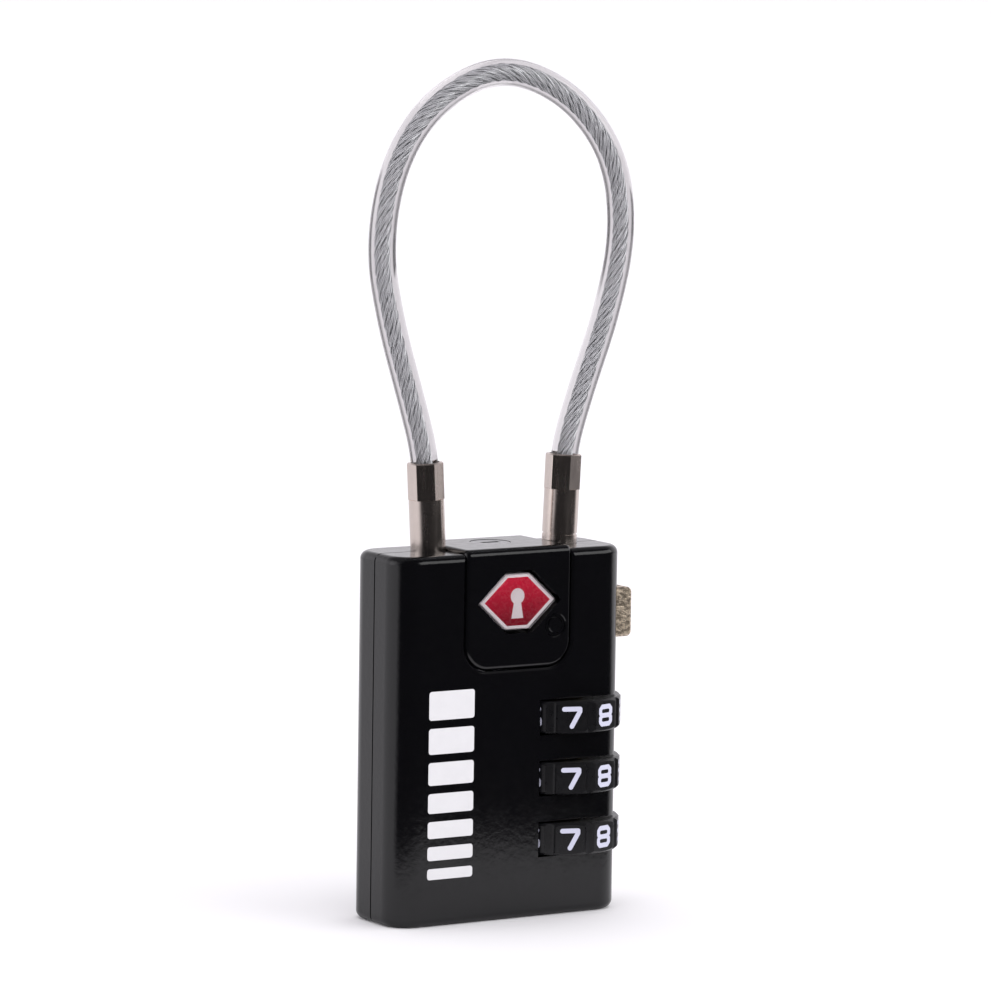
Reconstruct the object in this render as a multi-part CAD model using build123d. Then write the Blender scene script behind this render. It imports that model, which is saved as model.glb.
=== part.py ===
from build123d import *
import math
import os

# A three-dial combination luggage lock with a steel cable loop and a master-key cylinder.
# Millimetres. The origin is the centre of the case's bottom face, +Z is up, the front faces -Y.
# The dials and the release button are on the +X side.

# case
CASE_WIDTH = 32.6
CASE_DEPTH = 11.75
CASE_HEIGHT = 45.0
CORNER_RADIUS = 3.4
RIM_RADIUS = 1.0
SEAM_WIDTH = 0.22
SEAM_DEPTH = 0.2
WALL = 1.6
FRONT_Y = -CASE_DEPTH / 2
BACK_Y = CASE_DEPTH / 2

# key module: the block set into the top of the case
MODULE_LEFT = -6.85
MODULE_RIGHT = 8.15
MODULE_BOTTOM = 30.75
MODULE_TOP = CASE_HEIGHT + 0.5
MODULE_CORNER = 3.2
MODULE_EDGE = 0.9
MODULE_GAP = 0.1
GROOVE_LIP = 0.3
MODULE_FACE_EDGE = 0.6

# emblem window in the module's front
EMBLEM_X = 0.7
EMBLEM_Z = 38.9
EMBLEM_HALF_WIDTH = 5.4
EMBLEM_HALF_TOP = 1.65
EMBLEM_HALF_HEIGHT = 3.4
EMBLEM_RECESS_MARGIN = 0.42
EMBLEM_RECESS_DEPTH = 1.9
BACKPLATE_THICKNESS = 1.4
LENS_THICKNESS = 0.35
LENS_EDGE = 0.2
DIMPLE_X = 5.95
DIMPLE_Z = 35.75
DIMPLE_RADIUS = 1.4
DIMPLE_WIDTH = 0.4
DIMPLE_DEPTH = 0.22
DIMPLE_EDGE = 0.12

# dials
DIAL_X = 9.9
DIAL_HEIGHTS = (9.5, 17.0, 24.5)
DIAL_COUNT = 10
DIAL_PITCH_ANGLE = 360 / DIAL_COUNT
DIAL_RADIUS = 8.1
DIAL_FACET = 7.9
DIAL_THICKNESS = 3.9
DIAL_EDGE = 0.35
SCOOP_RADIUS = 0.9
SCOOP_DEPTH = 0.32
WINDOW_HEIGHT = 4.35
WINDOW_LEFT = 3.9
DIAL_CAVITY_RADIUS = 8.4
KEYED_BORE = 4.6
RUNNING_GAP = 0.07

# numerals, engraved and filled
DIGIT_HALF_WIDTH = 0.98
DIGIT_HALF_HEIGHT = 1.06
DIGIT_STROKE = 0.6
DIGIT_CORNER = 0.3
DIGIT_DEPTH = 0.3
DIGIT_FILL = 0.28
FIRST_DIGIT_ANGLE = 90.0

# dial sleeves and spindle
SLEEVE_LENGTH = 7.2
SLEEVE_HUB_RADIUS = 3.25
SLEEVE_CHAMBER_RADIUS = 2.6
SLEEVE_WEB = 1.6
WEB_BORE = 1.6
SPINDLE_RADIUS = 1.4
SPINDLE_BOTTOM = 4.4
SPINDLE_HEAD_BOTTOM = 28.4
SPINDLE_HEAD_TOP = 29.2
SPINDLE_HEAD_RADIUS = 2.2
SPINDLE_TIP_RADIUS = 1.0
FIN_LENGTH = 2.35
FIN_WIDTH = 0.9
FIN_THICKNESS = 1.0
SPRING_FLOOR = 1.9
SPRING_POCKET_RADIUS = 1.6
SLEEVE_SHAFT_TOP = 32.0

# cable ends
FIXED_X = -8.8
FIXED_TILT = -3.2
FREE_X = 10.0
FREE_TILT = 2.5
FERRULE_RADIUS = 2.15
FERRULE_BORE = 2.22
HEX_FLAT = 1.93
HEX_CORNER = 2.2
FIXED_BOTTOM = -11.0
FIXED_HEX_START = 6.3
FIXED_TOP = 10.8
FREE_HEX_START = 6.7
FREE_TOP = 11.0
FREE_TAIL_BOTTOM = -11.4
FREE_HOLE_BOTTOM = -12.1
PRESS_GAP = 0.02
TAIL_RADIUS = 1.8
NECK_RADIUS = 1.1
NECK_BOTTOM = -9.3
NECK_TOP = -7.3
CUP_DEPTH = 2.6
CUP_RADIUS = 1.72
POST_REACH = 3.0
CRIMP_EDGE = 0.15
RING_GROOVE_BOTTOM = 1.1
RING_GROOVE_TOP = 1.35
RING_GROOVE_DEPTH = 0.12
CROSS_PIN_RADIUS = 0.9
CROSS_PIN_Z = 38.4
CROSS_PIN_HALF_LENGTH = 4.0

# cable: the centreline's route, as x and z in the plane of the loop
CORE_RADIUS = 0.66
JACKET_INNER = 0.69
JACKET_RADIUS = 1.65
ROUTE = [
    (-9.3, 53.4),
    (-9.4, 56.4),
    (-11.3, 62.9),
    (-14.4, 72.4),
    (-16.3, 81.8),
    (-14.3, 92.2),
    (-8.7, 99.5),
    (0.6, 103.5),
    (10.4, 100.2),
    (17.2, 92.6),
    (18.7, 83.0),
    (16.5, 73.2),
    (12.9, 63.9),
    (10.5, 56.6),
    (10.4, 53.6),
]
ARC_SHARE = 0.45

# release button, latch and their travel
TRAVEL = 1.2
BUTTON_BOTTOM = 33.25
BUTTON_TOP = 39.4
BUTTON_HALF_DEPTH = 3.1
BUTTON_TIP = CASE_WIDTH / 2 + 2.75
BUTTON_GAP = 0.1
FLANGE_INNER = 13.8
FLANGE_OUTER = 14.75
FLANGE_LIP = 0.7
LATCH_BOTTOM = 36.0
LATCH_TOP = 37.2
LATCH_RIGHT = 13.7
LATCH_LEFT = -3.6
LATCH_HALF_DEPTH = 2.9
LATCH_SLOT = 1.95
LEG_LEFT = 12.7
FOOT_LEFT = 11.2
FOOT_TOP = 31.4
FOOT_BOTTOM = 28.6
FOOT_HALF_DEPTH = 1.4
RAMP_GAP = 0.17
BUTTON_SPRING_Y = 2.7
BUTTON_SPRING_Z = 38.9
BUTTON_SPRING_SEAT = 11.45
BUTTON_SEAT_RADIUS = 1.0
BUTTON_ROUNDING = 0.7
BUTTON_LONG_ROUNDING = 0.6
BUTTON_FLANGE_EXTRA = 0.6
BUTTON_ROOM_HALF_DEPTH = 3.9
BUTTON_ROOM_BOTTOM = 32.4
BUTTON_ROOM_TOP = 40.9
LATCH_ROOM_HALF_DEPTH = 3.1
LATCH_ROOM_BACK = 4.4
FOOT_ROOM_LEFT = 9.3
FOOT_ROOM_HALF_DEPTH = 1.7
FOOT_ROOM_BOTTOM = 27.4

# key cylinder
KEY_X = 0.6
KEY_Y = 0.9
PLUG_RADIUS = 2.45
PLUG_BOTTOM = 37.6
KEYWAY_LENGTH = 2.6
KEYWAY_WIDTH = 0.9
KEYWAY_BOTTOM = 38.6
WAFER_HEIGHTS = (41.4, 42.3, 43.2, 44.1)
WAFER_THICKNESS = 0.5
WAFER_SIZE = 3.2
CLIP_BOTTOM = 40.0
CLIP_THICKNESS = 0.5
CLIP_INNER = 2.1
CLIP_OUTER = 2.75
STUD_RADIUS = 0.9
CAM_HUB = 1.35
CAM_REACH = 2.0

# inside the case
DETENT_LEFT = -0.6
DETENT_SHEET = 0.35
DETENT_REACH = 1.3
DETENT_HALF_DEPTH = 2.6
DETENT_BOTTOM = 4.7
DETENT_TOP = 29.3
DETENT_ROOM_RIGHT = 1.9
DETENT_ARM_HALF_DEPTH = 1.2
PIN_PLACES = ((-12.8, 3.2), (13.6, 3.2), (-12.8, 34.0), (14.2, 43.0))
PIN_RADIUS = 0.8
PIN_HALF_LENGTH = 3.6
HOLLOW_LEFT = -14.7
HOLLOW_RIGHT = -2.4
HOLLOW_BOTTOM = 5.4
HOLLOW_TOP = 30.2


def box(low, high):
    """A box from its lowest to its highest corner."""
    size = [b - a for a, b in zip(low, high)]
    middle = [(a + b) / 2 for a, b in zip(low, high)]
    return Pos(*middle) * Box(*size)


def upright(x, y, radius, bottom, top):
    """A cylinder along Z."""
    return Pos(x, y, (bottom + top) / 2) * Cylinder(radius, top - bottom)


def front_prism(sketch, y_from, y_to):
    """A sketch drawn in x and z, carried from one y to a greater one."""
    plane = Plane(origin=(0, y_to, 0), x_dir=(1, 0, 0), z_dir=(0, -1, 0))
    return extrude(plane * sketch, amount=y_to - y_from)


def cross_cylinder(x, z, radius, y_from, y_to):
    """A cylinder along Y."""
    return front_prism(Pos(x, z) * Circle(radius), y_from, y_to)


def cone_frustum(x, y, low_radius, high_radius, bottom, top):
    """A cone cut off flat, along Z."""
    return Pos(x, y, (bottom + top) / 2) * Cone(low_radius, high_radius, top - bottom)


def post_place(x, tilt):
    """The place of a cable end: its own zero is where its axis leaves the case's top."""
    return Pos(x, 0, CASE_HEIGHT) * Rot(0, tilt, 0)


def post_cylinder(place, radius, bottom, top):
    return place * upright(0, 0, radius, bottom, top)


def post_axis_x(x, tilt, z):
    """Where a cable end's axis is at a height."""
    return x + (z - CASE_HEIGHT) * math.tan(math.radians(tilt))


def module_outline(margin):
    """The module's U, seen from the front, grown by a margin."""
    left = MODULE_LEFT - margin
    right = MODULE_RIGHT + margin
    bottom = MODULE_BOTTOM - margin
    sketch = Pos((left + right) / 2, (bottom + MODULE_TOP) / 2) * Rectangle(right - left, MODULE_TOP - bottom)
    corners = sketch.vertices().sort_by(Axis.Y)[:2]
    return fillet(corners, MODULE_CORNER + margin)


def hexagon(margin):
    """The emblem's stretched hexagon, seen from the front."""
    half_width = EMBLEM_HALF_WIDTH + margin * 1.3
    half_top = EMBLEM_HALF_TOP + margin * 0.5
    half_height = EMBLEM_HALF_HEIGHT + margin
    outline = Polyline(
        (-half_width, 0),
        (-half_top, half_height),
        (half_top, half_height),
        (half_width, 0),
        (half_top, -half_height),
        (-half_top, -half_height),
        close=True,
    )
    return Pos(EMBLEM_X, EMBLEM_Z) * make_face(outline)


def post_holes():
    """The two holes for the cable's ends. The free end's is a running fit."""
    fixed = post_place(FIXED_X, FIXED_TILT)
    free = post_place(FREE_X, FREE_TILT)
    holes = post_cylinder(fixed, FERRULE_RADIUS + PRESS_GAP, FIXED_BOTTOM, POST_REACH)
    return holes + post_cylinder(free, FERRULE_BORE, FREE_HOLE_BOTTOM, POST_REACH)


def latch_space():
    """The flat room in which the latch plate slides, module and case together."""
    gap = 0.2
    bottom = LATCH_BOTTOM - gap
    top = LATCH_TOP + gap
    front = -LATCH_ROOM_HALF_DEPTH
    in_module = box((LATCH_LEFT - TRAVEL - gap, front, bottom), (MODULE_RIGHT + 1, LATCH_ROOM_BACK, top))
    in_case = box((MODULE_RIGHT, front, bottom), (FLANGE_OUTER, LATCH_ROOM_HALF_DEPTH, top))
    return in_module, in_case


def case_block():
    """The whole case, before it is cut into a front and a back."""
    block = Pos(0, 0, CASE_HEIGHT / 2) * Box(CASE_WIDTH, CASE_DEPTH, CASE_HEIGHT)
    block = fillet(block.edges().filter_by(Axis.Z), CORNER_RADIUS)
    rims = block.edges().filter_by(lambda e: abs(e.center().Z - CASE_HEIGHT / 2) > CASE_HEIGHT / 2 - 0.01)
    block = fillet(rims, RIM_RADIUS)

    reach = CASE_DEPTH
    block -= front_prism(module_outline(MODULE_GAP), -reach, reach)
    lip = module_outline(MODULE_GAP + GROOVE_LIP)
    front_plane = Plane(origin=(0, FRONT_Y, 0), x_dir=(1, 0, 0), z_dir=(0, -1, 0))
    back_plane = Plane(origin=(0, BACK_Y, 0), x_dir=(1, 0, 0), z_dir=(0, -1, 0))
    block -= extrude(front_plane * lip, amount=-GROOVE_LIP, taper=45)
    block -= extrude(back_plane * lip, amount=GROOVE_LIP, taper=45)

    block -= post_holes()
    block -= ferrule_cross_pin()

    for z in DIAL_HEIGHTS:
        low = z - WINDOW_HEIGHT / 2
        high = z + WINDOW_HEIGHT / 2
        block -= upright(DIAL_X, 0, DIAL_CAVITY_RADIUS, low, high)
        block -= box((WINDOW_LEFT, -reach, low), (CASE_WIDTH, reach, high))
    sleeve_bottom = DIAL_HEIGHTS[0] - SLEEVE_LENGTH / 2 - 0.1
    block -= upright(DIAL_X, 0, SLEEVE_HUB_RADIUS + RUNNING_GAP, sleeve_bottom, SLEEVE_SHAFT_TOP)
    block -= upright(DIAL_X, 0, SPINDLE_RADIUS + RUNNING_GAP, SPINDLE_BOTTOM, sleeve_bottom)
    block -= upright(DIAL_X, 0, SPRING_POCKET_RADIUS, SPRING_FLOOR, SPINDLE_BOTTOM + 0.5)

    latch_in_case = latch_space()[1]
    block -= latch_in_case
    chamber_left = FLANGE_INNER - TRAVEL - 0.7
    block -= box(
        (chamber_left, -BUTTON_ROOM_HALF_DEPTH, BUTTON_ROOM_BOTTOM),
        (FLANGE_OUTER + 0.05, BUTTON_ROOM_HALF_DEPTH, BUTTON_ROOM_TOP),
    )
    opening_half = BUTTON_HALF_DEPTH + BUTTON_GAP
    opening = box(
        (FLANGE_INNER, -opening_half, BUTTON_BOTTOM - BUTTON_GAP),
        (CASE_WIDTH, opening_half, BUTTON_TOP + BUTTON_GAP),
    )
    block -= fillet(opening.edges().filter_by(Axis.X), BUTTON_LONG_ROUNDING)
    block -= box(
        (FOOT_ROOM_LEFT, -FOOT_ROOM_HALF_DEPTH, FOOT_ROOM_BOTTOM),
        (FLANGE_OUTER + 0.05, FOOT_ROOM_HALF_DEPTH, LATCH_BOTTOM),
    )
    seat = Plane(origin=(BUTTON_SPRING_SEAT, BUTTON_SPRING_Y, BUTTON_SPRING_Z), z_dir=(1, 0, 0))
    block -= extrude(seat * Circle(BUTTON_SEAT_RADIUS), amount=1.0)

    detent_half_depth = DETENT_HALF_DEPTH + 0.02
    block -= box(
        (DETENT_LEFT - 0.02, -detent_half_depth, DETENT_BOTTOM - 0.1),
        (DETENT_ROOM_RIGHT, detent_half_depth, DETENT_TOP + 0.1),
    )
    block -= box((HOLLOW_LEFT, FRONT_Y + WALL, HOLLOW_BOTTOM), (HOLLOW_RIGHT, BACK_Y - WALL, HOLLOW_TOP))
    for x, z in PIN_PLACES:
        block -= cross_cylinder(x, z, PIN_RADIUS + 0.01, -PIN_HALF_LENGTH, PIN_HALF_LENGTH)
    return block


def half_case(block, side):
    """The front or the back half. The seam is a fine groove round the outside."""
    half = box((-30, 0, -5), (30, side * 20, 60)) if side > 0 else box((-30, -20, -5), (30, 0, 60))
    shell = block & half
    groove_half = SEAM_WIDTH / 2
    rim = box((-30, -groove_half, -5), (30, groove_half, 60))
    inner = CASE_WIDTH / 2 - SEAM_DEPTH
    rim -= box((-inner, -1, SEAM_DEPTH), (inner, 1, CASE_HEIGHT - SEAM_DEPTH))
    return shell - rim


def key_module():
    body = front_prism(module_outline(0), FRONT_Y, BACK_Y)
    across = body.edges().filter_by(Axis.X).filter_by(lambda e: e.center().Z > MODULE_TOP - 0.01)
    body = fillet(across, MODULE_EDGE)
    face_edges = body.edges().filter_by(
        lambda e: abs(abs(e.center().Y) - CASE_DEPTH / 2) < 0.01 and e.center().Z < MODULE_TOP - 1.5
    )
    body = fillet(face_edges, MODULE_FACE_EDGE)
    floor = FRONT_Y + EMBLEM_RECESS_DEPTH
    body -= front_prism(hexagon(EMBLEM_RECESS_MARGIN), FRONT_Y - 1, floor)
    ring = Circle(DIMPLE_RADIUS) - Circle(DIMPLE_RADIUS - DIMPLE_WIDTH)
    body -= front_prism(Pos(DIMPLE_X, DIMPLE_Z) * ring, FRONT_Y - 1, FRONT_Y + DIMPLE_DEPTH)
    ring_edges = body.edges().filter_by(GeomType.CIRCLE).filter_by(
        lambda e: abs(e.center().Y - FRONT_Y) < 0.01 and e.radius < DIMPLE_RADIUS + 0.01
    )
    body = chamfer(ring_edges, DIMPLE_EDGE)
    body -= latch_space()[0]
    body -= upright(KEY_X, KEY_Y, PLUG_RADIUS + RUNNING_GAP, LATCH_TOP, MODULE_TOP + 1)
    body -= upright(KEY_X, KEY_Y, CLIP_OUTER + 0.1, CLIP_BOTTOM - 0.1, CLIP_BOTTOM + CLIP_THICKNESS + 0.1)
    return body - post_holes()


def emblem_backplate():
    floor = FRONT_Y + EMBLEM_RECESS_DEPTH
    return front_prism(hexagon(0), floor - BACKPLATE_THICKNESS, floor)


def emblem_lens():
    base = FRONT_Y + EMBLEM_RECESS_DEPTH - BACKPLATE_THICKNESS
    lens = front_prism(hexagon(0), base - LENS_THICKNESS, base)
    outer = lens.faces().sort_by(Axis.Y)[0].edges()
    return chamfer(outer, LENS_EDGE, LENS_EDGE * 1.6)


def ferrule_crimp(bottom, top, turn):
    """The crimped top of a cable end: six flats pressed into a round sleeve."""
    flats = Rot(0, 0, turn) * RegularPolygon(HEX_FLAT, 6, major_radius=False)
    rounded = flats & Circle(HEX_CORNER)
    crimp = Pos(0, 0, bottom) * extrude(rounded, amount=top - bottom)
    rim = crimp.edges().filter_by(lambda e: e.center().Z > top - 0.01)
    return chamfer(rim, CRIMP_EDGE)


def cable_cup(top):
    return upright(0, 0, CUP_RADIUS, top - CUP_DEPTH, top + 1)


def fixed_ferrule():
    shaft = upright(0, 0, FERRULE_RADIUS, FIXED_BOTTOM, FIXED_HEX_START)
    ferrule = shaft + ferrule_crimp(FIXED_HEX_START, FIXED_TOP, 28) - cable_cup(FIXED_TOP)
    ferrule = post_place(FIXED_X, FIXED_TILT) * ferrule
    return ferrule - ferrule_cross_pin()


def ferrule_cross_pin():
    """The pin that holds the fixed cable end in the case."""
    x = post_axis_x(FIXED_X, FIXED_TILT, CROSS_PIN_Z)
    return cross_cylinder(x, CROSS_PIN_Z, CROSS_PIN_RADIUS, -CROSS_PIN_HALF_LENGTH, CROSS_PIN_HALF_LENGTH)


def free_ferrule():
    shaft = upright(0, 0, FERRULE_RADIUS, NECK_TOP, FREE_HEX_START)
    neck = upright(0, 0, NECK_RADIUS, NECK_BOTTOM, NECK_TOP)
    tail = cone_frustum(0, 0, TAIL_RADIUS - 0.5, TAIL_RADIUS, FREE_TAIL_BOTTOM, FREE_TAIL_BOTTOM + 0.6)
    tail += upright(0, 0, TAIL_RADIUS, FREE_TAIL_BOTTOM + 0.6, NECK_BOTTOM)
    ring_groove = upright(0, 0, FERRULE_RADIUS + 1, RING_GROOVE_BOTTOM, RING_GROOVE_TOP)
    ring_groove -= upright(0, 0, FERRULE_RADIUS - RING_GROOVE_DEPTH, RING_GROOVE_BOTTOM, RING_GROOVE_TOP)
    ferrule = shaft + neck + tail + ferrule_crimp(FREE_HEX_START, FREE_TOP, 20) - cable_cup(FREE_TOP)
    return post_place(FREE_X, FREE_TILT) * (ferrule - ring_groove)


def cable_path():
    """Straight runs joined by arcs, each as large as its two runs allow."""
    points = [Vector(x, 0, z) for x, z in ROUTE]
    radii = []
    for before, here, after in zip(points, points[1:], points[2:]):
        run = min((here - before).length, (after - here).length)
        turn = math.radians((here - before).get_angle(after - here))
        radii.append(ARC_SHARE * run / math.tan(turn / 2))
    print("cable arc radii", [round(r, 1) for r in radii])
    return FilletPolyline(*points, radius=radii)


def cable_piece(path, outer, inner=None):
    start = path @ 0
    direction = path % 0
    section = Plane(origin=start, z_dir=direction) * Circle(outer)
    solid = sweep(section, path=path)
    if inner:
        solid -= sweep(Plane(origin=start, z_dir=direction) * Circle(inner), path=path)
    return solid


def release_button():
    tip = box(
        (FLANGE_OUTER - 0.5, -BUTTON_HALF_DEPTH, BUTTON_BOTTOM),
        (BUTTON_TIP, BUTTON_HALF_DEPTH, BUTTON_TOP),
    )
    tip = fillet(tip.edges().filter_by(Axis.X), BUTTON_LONG_ROUNDING)
    tip = fillet(tip.faces().sort_by(Axis.X)[-1].edges(), BUTTON_ROUNDING)
    flange = box(
        (FLANGE_INNER, -BUTTON_HALF_DEPTH - BUTTON_FLANGE_EXTRA, BUTTON_BOTTOM - FLANGE_LIP),
        (FLANGE_OUTER, BUTTON_HALF_DEPTH + BUTTON_FLANGE_EXTRA, BUTTON_TOP + FLANGE_LIP),
    )
    return tip + flange


def latch_plate():
    plate = box((5.0, -LATCH_HALF_DEPTH, LATCH_BOTTOM), (LATCH_RIGHT, LATCH_HALF_DEPTH, LATCH_TOP))
    plate += box((LATCH_LEFT, -1.6, LATCH_BOTTOM), (6.0, 4.2, LATCH_TOP))
    plate -= box((-2.2, -1.0, LATCH_BOTTOM - 1), (3.4, 3.4, LATCH_TOP + 1))
    axis_x = post_axis_x(FREE_X, FREE_TILT, (LATCH_BOTTOM + LATCH_TOP) / 2)
    plate -= upright(axis_x, 0, LATCH_SLOT, LATCH_BOTTOM - 1, LATCH_TOP + 1)
    plate -= upright(axis_x + TRAVEL, 0, LATCH_SLOT, LATCH_BOTTOM - 1, LATCH_TOP + 1)
    plate -= box(
        (axis_x, -LATCH_SLOT, LATCH_BOTTOM - 1),
        (axis_x + TRAVEL, LATCH_SLOT, LATCH_TOP + 1),
    )
    ramp_sum = DIAL_X + SPINDLE_HEAD_RADIUS + SPINDLE_HEAD_TOP + RAMP_GAP
    leg = Polyline(
        (LEG_LEFT, LATCH_BOTTOM),
        (LEG_LEFT, FOOT_TOP),
        (FOOT_LEFT, FOOT_TOP),
        (FOOT_LEFT, ramp_sum - FOOT_LEFT),
        (ramp_sum - FOOT_BOTTOM, FOOT_BOTTOM),
        (LATCH_RIGHT, FOOT_BOTTOM),
        (LATCH_RIGHT, LATCH_BOTTOM),
        close=True,
    )
    leg = front_prism(make_face(leg), -FOOT_HALF_DEPTH, FOOT_HALF_DEPTH)
    return plate + leg


def coil_spring(coil_radius, wire_radius, length, turns):
    """A coil spring along Z from zero to its length."""
    rise = length - 2 * wire_radius
    path = Helix(pitch=rise / turns, height=rise, radius=coil_radius)
    section = Plane(origin=path @ 0, z_dir=path % 0) * Circle(wire_radius)
    return Pos(0, 0, wire_radius) * sweep(section, path=path)


def spindle_spring():
    length = SPINDLE_BOTTOM - SPRING_FLOOR - 0.04
    return Pos(DIAL_X, 0, SPRING_FLOOR + 0.02) * coil_spring(1.05, 0.17, length, 3)


def button_spring():
    length = FLANGE_INNER - BUTTON_SPRING_SEAT - 0.04
    spring = coil_spring(0.7, 0.14, length, 4)
    return Pos(BUTTON_SPRING_SEAT + 0.02, BUTTON_SPRING_Y, BUTTON_SPRING_Z) * Rot(0, 90, 0) * spring


DIGIT_STROKES = {
    0: [[(0, -1), (1, -1), (1, 1), (-1, 1), (-1, -1), (0, -1)]],
    1: [[(-0.5, 0.6), (0.15, 1), (0.15, -1)]],
    2: [[(-1, 1), (1, 1), (1, 0), (-1, 0), (-1, -1), (1, -1)]],
    3: [[(-1, 1), (1, 1), (1, 0), (-0.4, 0)], [(0, 0), (1, 0), (1, -1), (-1, -1)]],
    4: [[(-1, 1), (-1, -0.1), (1, -0.1)], [(0.5, 0.6), (0.5, -1)]],
    5: [[(1, 1), (-1, 1), (-1, 0), (1, 0), (1, -1), (-1, -1)]],
    6: [[(0.9, 1), (-1, 1), (-1, -1), (1, -1), (1, 0), (-1, 0)]],
    7: [[(-1, 1), (1, 1), (1, 0.7), (0, -1)]],
    8: [
        [(0, -1), (1, -1), (1, 0), (-1, 0), (-1, -1), (0, -1)],
        [(0, 0), (1, 0), (1, 1), (-1, 1), (-1, 0), (0, 0)],
    ],
    9: [[(-0.9, -1), (1, -1), (1, 1), (-1, 1), (-1, 0), (1, 0)]],
}


def cut_corners(points):
    """A line of points with its long runs' corners cut off."""
    line = [points[0]]
    for before, here, after in zip(points, points[1:], points[2:]):
        back = before - here
        ahead = after - here
        if min(back.length, ahead.length) > 2 * DIGIT_CORNER:
            line += [here + back.normalized() * DIGIT_CORNER, here + ahead.normalized() * DIGIT_CORNER]
        else:
            line.append(here)
    return line + [points[-1]]


def digit_sketch(digit):
    """One numeral as strokes with round ends."""
    sketch = Sketch()
    for stroke in DIGIT_STROKES[digit]:
        points = cut_corners([Vector(x * DIGIT_HALF_WIDTH, z * DIGIT_HALF_HEIGHT) for x, z in stroke])
        for a, b in zip(points, points[1:]):
            middle = (a + b) / 2
            angle = math.degrees(math.atan2(b.Y - a.Y, b.X - a.X))
            slot = SlotCenterToCenter((b - a).length, DIGIT_STROKE)
            sketch += Pos(middle.X, middle.Y) * Rot(0, 0, angle) * slot
    return sketch


def digit_plane(digit, depth):
    """The plane of a numeral's facet, sunk by a depth. The angle is counted from the front."""
    angle = math.radians(FIRST_DIGIT_ANGLE + digit * DIAL_PITCH_ANGLE)
    outward = Vector(math.sin(angle), -math.cos(angle), 0)
    sideways = Vector(math.cos(angle), math.sin(angle), 0)
    return Plane(origin=outward * (DIAL_FACET - depth), x_dir=sideways, z_dir=outward)


def digit_solids(start, height):
    """All ten numerals round a dial centred on the origin."""
    solids = []
    for digit in range(DIAL_COUNT):
        solids.append(extrude(digit_plane(digit, start) * digit_sketch(digit), amount=height))
    return solids


def number_dial(cutters):
    half = DIAL_THICKNESS / 2
    dial = upright(0, 0, DIAL_RADIUS, -half, half)
    rims = dial.edges().filter_by(GeomType.CIRCLE)
    dial = chamfer(rims, DIAL_EDGE)
    flats = Rot(0, 0, DIAL_PITCH_ANGLE / 2) * RegularPolygon(DIAL_FACET, DIAL_COUNT, major_radius=False)
    dial = dial & Pos(0, 0, -half) * extrude(flats, amount=DIAL_THICKNESS)
    scoop_centre = DIAL_RADIUS + SCOOP_RADIUS - SCOOP_DEPTH
    for k in range(DIAL_COUNT):
        angle = math.radians(DIAL_PITCH_ANGLE * (k + 0.5))
        x = scoop_centre * math.cos(angle)
        y = scoop_centre * math.sin(angle)
        dial -= upright(x, y, SCOOP_RADIUS, -half - 1, half + 1)
    bore = RegularPolygon(KEYED_BORE, DIAL_COUNT, major_radius=False)
    dial -= Pos(0, 0, -half - 1) * extrude(bore, amount=DIAL_THICKNESS + 2)
    for cutter in cutters:
        dial -= cutter
    return dial


def dial_sleeve():
    half = SLEEVE_LENGTH / 2
    flange = extrude(RegularPolygon(KEYED_BORE - 0.03, DIAL_COUNT, major_radius=False), amount=3.4)
    sleeve = Pos(0, 0, -1.7) * flange + upright(0, 0, SLEEVE_HUB_RADIUS, -half, half)
    sleeve -= upright(0, 0, SLEEVE_CHAMBER_RADIUS, -half + SLEEVE_WEB, half + 1)
    sleeve -= upright(0, 0, WEB_BORE, -half - 1, half)
    gate = box((0, -FIN_WIDTH / 2 - 0.1, -half - 1), (FIN_LENGTH + 0.15, FIN_WIDTH / 2 + 0.1, 0))
    return sleeve - gate


def dial_spindle():
    spindle = upright(0, 0, SPINDLE_RADIUS, SPINDLE_BOTTOM, SPINDLE_HEAD_BOTTOM)
    spindle += upright(0, 0, SPINDLE_HEAD_RADIUS, SPINDLE_HEAD_BOTTOM, SPINDLE_HEAD_TOP)
    rise = SPINDLE_HEAD_RADIUS - SPINDLE_TIP_RADIUS
    spindle += cone_frustum(
        0, 0, SPINDLE_HEAD_RADIUS, SPINDLE_TIP_RADIUS, SPINDLE_HEAD_TOP, SPINDLE_HEAD_TOP + rise
    )
    for z in DIAL_HEIGHTS:
        low = z - FIN_THICKNESS / 2
        spindle += box((0, -FIN_WIDTH / 2, low), (FIN_LENGTH, FIN_WIDTH / 2, low + FIN_THICKNESS))
    return Pos(DIAL_X, 0, 0) * spindle


def detent_spring():
    """A spring sheet with one arm for each dial, its tip just clear of the facets."""
    right = DETENT_LEFT + DETENT_SHEET
    spring = box((DETENT_LEFT, -DETENT_HALF_DEPTH, DETENT_BOTTOM), (right, DETENT_HALF_DEPTH, DETENT_TOP))
    for z in DIAL_HEIGHTS:
        arm = Polyline(
            (DETENT_LEFT, z - 2.6),
            (right, z - 2.6),
            (DETENT_REACH, z + 0.2),
            (DETENT_REACH, z + 0.9),
            (DETENT_REACH - DETENT_SHEET, z + 0.9),
            (DETENT_REACH - DETENT_SHEET, z + 0.3),
            (DETENT_LEFT, z - 1.9),
            close=True,
        )
        spring += front_prism(make_face(arm), -DETENT_ARM_HALF_DEPTH, DETENT_ARM_HALF_DEPTH)
    return spring


def locating_pins():
    half = PIN_HALF_LENGTH - 0.1
    pins = [cross_cylinder(x, z, PIN_RADIUS, -half, half) for x, z in PIN_PLACES]
    return Compound(children=pins)


def keyway(margin):
    length = KEYWAY_LENGTH + margin
    width = KEYWAY_WIDTH + margin
    return Pos(0, 0, KEYWAY_BOTTOM) * extrude(Rectangle(length, width), amount=MODULE_TOP)


def wafer_block(z):
    return Pos(0, 0, z) * Box(WAFER_SIZE, WAFER_SIZE, WAFER_THICKNESS)


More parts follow.
